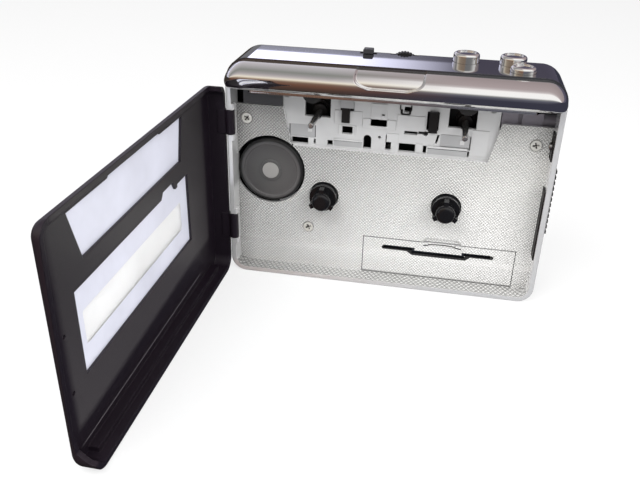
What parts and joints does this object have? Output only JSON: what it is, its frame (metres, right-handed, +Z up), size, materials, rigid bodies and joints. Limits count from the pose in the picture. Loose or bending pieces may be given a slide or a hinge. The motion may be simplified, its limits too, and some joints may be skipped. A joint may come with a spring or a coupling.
{
  "type": "portable cassette player",
  "caption": "Upright pocket cassette player with its side-hinged lid swung open, showing the chrome well, spindles, capstans and the mechanism behind.",
  "frame": {"origin": "centre of the bottom face of the body, between front and back", "axes": "+X from the lid hinge to the sockets, +Y from front to back, +Z up"},
  "size_m": [0.119, 0.1301, 0.0812],
  "materials": {
    "well_chrome": "bright plated plastic, diamond knurled floor",
    "bright_chrome": "mirror plated plastic",
    "case_black": "glossy black",
    "lid_black": "satin black with a purple cast",
    "plate_lavender": "pale blue lavender",
    "window_clear": "clear",
    "deck_grey": "light grey moulded",
    "inner_black": "black moulded",
    "jack_grey": "violet grey",
    "knob_dark": "dark, shiny",
    "bare_steel": "bright",
    "screw_steel": "plated",
    "head_metal": "polished",
    "yellow_brass": "turned",
    "black_rubber": "matte",
    "motor_grey": "dark grey",
    "cap_grey": "light grey",
    "board_green": "solder mask",
    "cell_wrap": "wrapped"
  },
  "bodies": {
    "case": {"well_frame": "well_chrome", "well_floor": "well_chrome", "top_band": "bright_chrome", "rear_shell": "case_black", "deck_plate": "deck_grey", "mech_chassis": "inner_black", "wall_inserts": "inner_black", "volume_pot": "inner_black", "mode_switch": "inner_black", "power_socket": "inner_black", "motor_switch": "inner_black", "phone_jack": "jack_grey", "reel_shafts": "bare_steel", "idler_pivot": "bare_steel", "hinge_pins": "bare_steel", "flywheel_bracket": "bare_steel", "usb_socket": "bare_steel", "battery_contacts": "bare_steel", "latch_catch": "bare_steel", "floor_screws": "screw_steel", "rear_screws": "screw_steel", "capstan_bearings": "yellow_brass", "drive_belt": "black_rubber", "side_grip": "black_rubber", "motor_can": "motor_grey", "motor_cap": "cap_grey", "circuit_board": "board_green", "key_board": "board_green", "control_board": "board_green", "battery_cells": "cell_wrap"},
    "lid": {"lid_shell": "lid_black", "lid_plate": "plate_lavender", "lid_window": "window_clear"},
    "battery_door": {"battery_door": "well_chrome"},
    "play_key": {"play_button": "bright_chrome", "play_spring": "bare_steel"},
    "stop_key": {"stop_button": "bright_chrome", "stop_spring": "bare_steel"},
    "forward_key": {"forward_button": "bright_chrome", "forward_spring": "bare_steel"},
    "head_slide": {"head_plate": "bare_steel", "pinch_brackets": "bare_steel", "tape_head": "head_metal"},
    "mode_knob": {"slider_knob": "knob_dark"},
    "volume_dial": {"volume_wheel": "inner_black"},
    "motor_rotor": {"motor_shaft": "bare_steel", "motor_pulley": "yellow_brass"},
    "left_drive": {"capstan_left": "bare_steel", "flywheel_left": "yellow_brass"},
    "right_drive": {"capstan_right": "bare_steel", "flywheel_right": "yellow_brass"},
    "left_reel": {"reel_left": "inner_black", "turntable_left": "inner_black"},
    "right_reel": {"reel_right": "inner_black", "turntable_right": "inner_black"},
    "idler_arm": {"idler_arm": "inner_black"},
    "idler_wheel": {"idler_wheel": "inner_black", "idler_tyre": "black_rubber"},
    "left_pinch": {"pinch_roller_left": "black_rubber"},
    "right_pinch": {"pinch_roller_right": "black_rubber"}
  },
  "joints": [
    {"name": "lid_hinge", "type": "hinge", "parent": "case", "child": "lid", "pos_m": [-0.053, -0.01095, 0.035], "axis": [0, 0, 1], "range_deg": [0, 90.7]},
    {"name": "battery_door_hinge", "type": "hinge", "parent": "case", "child": "battery_door", "pos_m": [0.02, -0.00505, 0.003], "axis": [1, 0, 0], "range_deg": [0, 75]},
    {"name": "play_press", "type": "slide", "parent": "case", "child": "play_key", "axis": [0, 0, -1], "range_m": [0, 0.003], "stiffness_N_per_m": 300, "springref_m": -0.001, "deforming": ["play_spring"]},
    {"name": "stop_press", "type": "slide", "parent": "case", "child": "stop_key", "axis": [0, 0, -1], "range_m": [0, 0.003], "stiffness_N_per_m": 300, "springref_m": -0.001, "deforming": ["stop_spring"]},
    {"name": "forward_press", "type": "slide", "parent": "case", "child": "forward_key", "axis": [0, 0, -1], "range_m": [0, 0.003], "stiffness_N_per_m": 300, "springref_m": -0.001, "deforming": ["forward_spring"]},
    {"name": "head_travel", "type": "slide", "parent": "case", "child": "head_slide", "axis": [0, 0, -1], "range_m": [0, 0.006], "stiffness_N_per_m": 200, "springref_m": -0.002},
    {"name": "mode_travel", "type": "slide", "parent": "case", "child": "mode_knob", "axis": [1, 0, 0], "range_m": [-0.0015, 0.0015]},
    {"name": "volume_turn", "type": "hinge", "parent": "case", "child": "volume_dial", "pos_m": [0.0023, 0.00775, 0.0741], "axis": [0, 1, 0], "range_deg": [-140, 140]},
    {"name": "left_drive_spin", "type": "hinge", "parent": "case", "child": "left_drive", "pos_m": [-0.0245, 0.00745, 0.059], "axis": [0, 1, 0], "continuous": true},
    {"name": "right_drive_spin", "type": "hinge", "parent": "case", "child": "right_drive", "pos_m": [0.0245, 0.00745, 0.059], "axis": [0, 1, 0], "continuous": true},
    {"name": "motor_spin", "type": "hinge", "parent": "case", "child": "motor_rotor", "pos_m": [-0.0403, 0.00745, 0.0384], "axis": [0, 1, 0], "continuous": true},
    {"name": "left_reel_spin", "type": "hinge", "parent": "case", "child": "left_reel", "pos_m": [-0.02125, -0.00725, 0.0305], "axis": [0, 1, 0], "continuous": true},
    {"name": "right_reel_spin", "type": "hinge", "parent": "case", "child": "right_reel", "pos_m": [0.02125, -0.00725, 0.0305], "axis": [0, 1, 0], "continuous": true},
    {"name": "idler_swing", "type": "hinge", "parent": "case", "child": "idler_arm", "pos_m": [0, 0.00075, 0.047], "axis": [0, 1, 0], "range_deg": [-31, 31]},
    {"name": "idler_spin", "type": "hinge", "parent": "idler_arm", "child": "idler_wheel", "pos_m": [0, -0.00085, 0.0315], "axis": [0, 1, 0], "continuous": true},
    {"name": "left_pinch_spin", "type": "hinge", "parent": "head_slide", "child": "left_pinch", "pos_m": [-0.0245, -0.01225, 0.06925], "axis": [0, 1, 0], "continuous": true},
    {"name": "right_pinch_spin", "type": "hinge", "parent": "head_slide", "child": "right_pinch", "pos_m": [0.0245, -0.01225, 0.06925], "axis": [0, 1, 0], "continuous": true}
  ],
  "couplings": [
    {"joint": "head_travel", "follows": "play_press", "ratio": 2},
    {"joint": "right_drive_spin", "follows": "left_drive_spin", "ratio": 1},
    {"joint": "motor_spin", "follows": "left_drive_spin", "ratio": 4.0222}
  ]
}
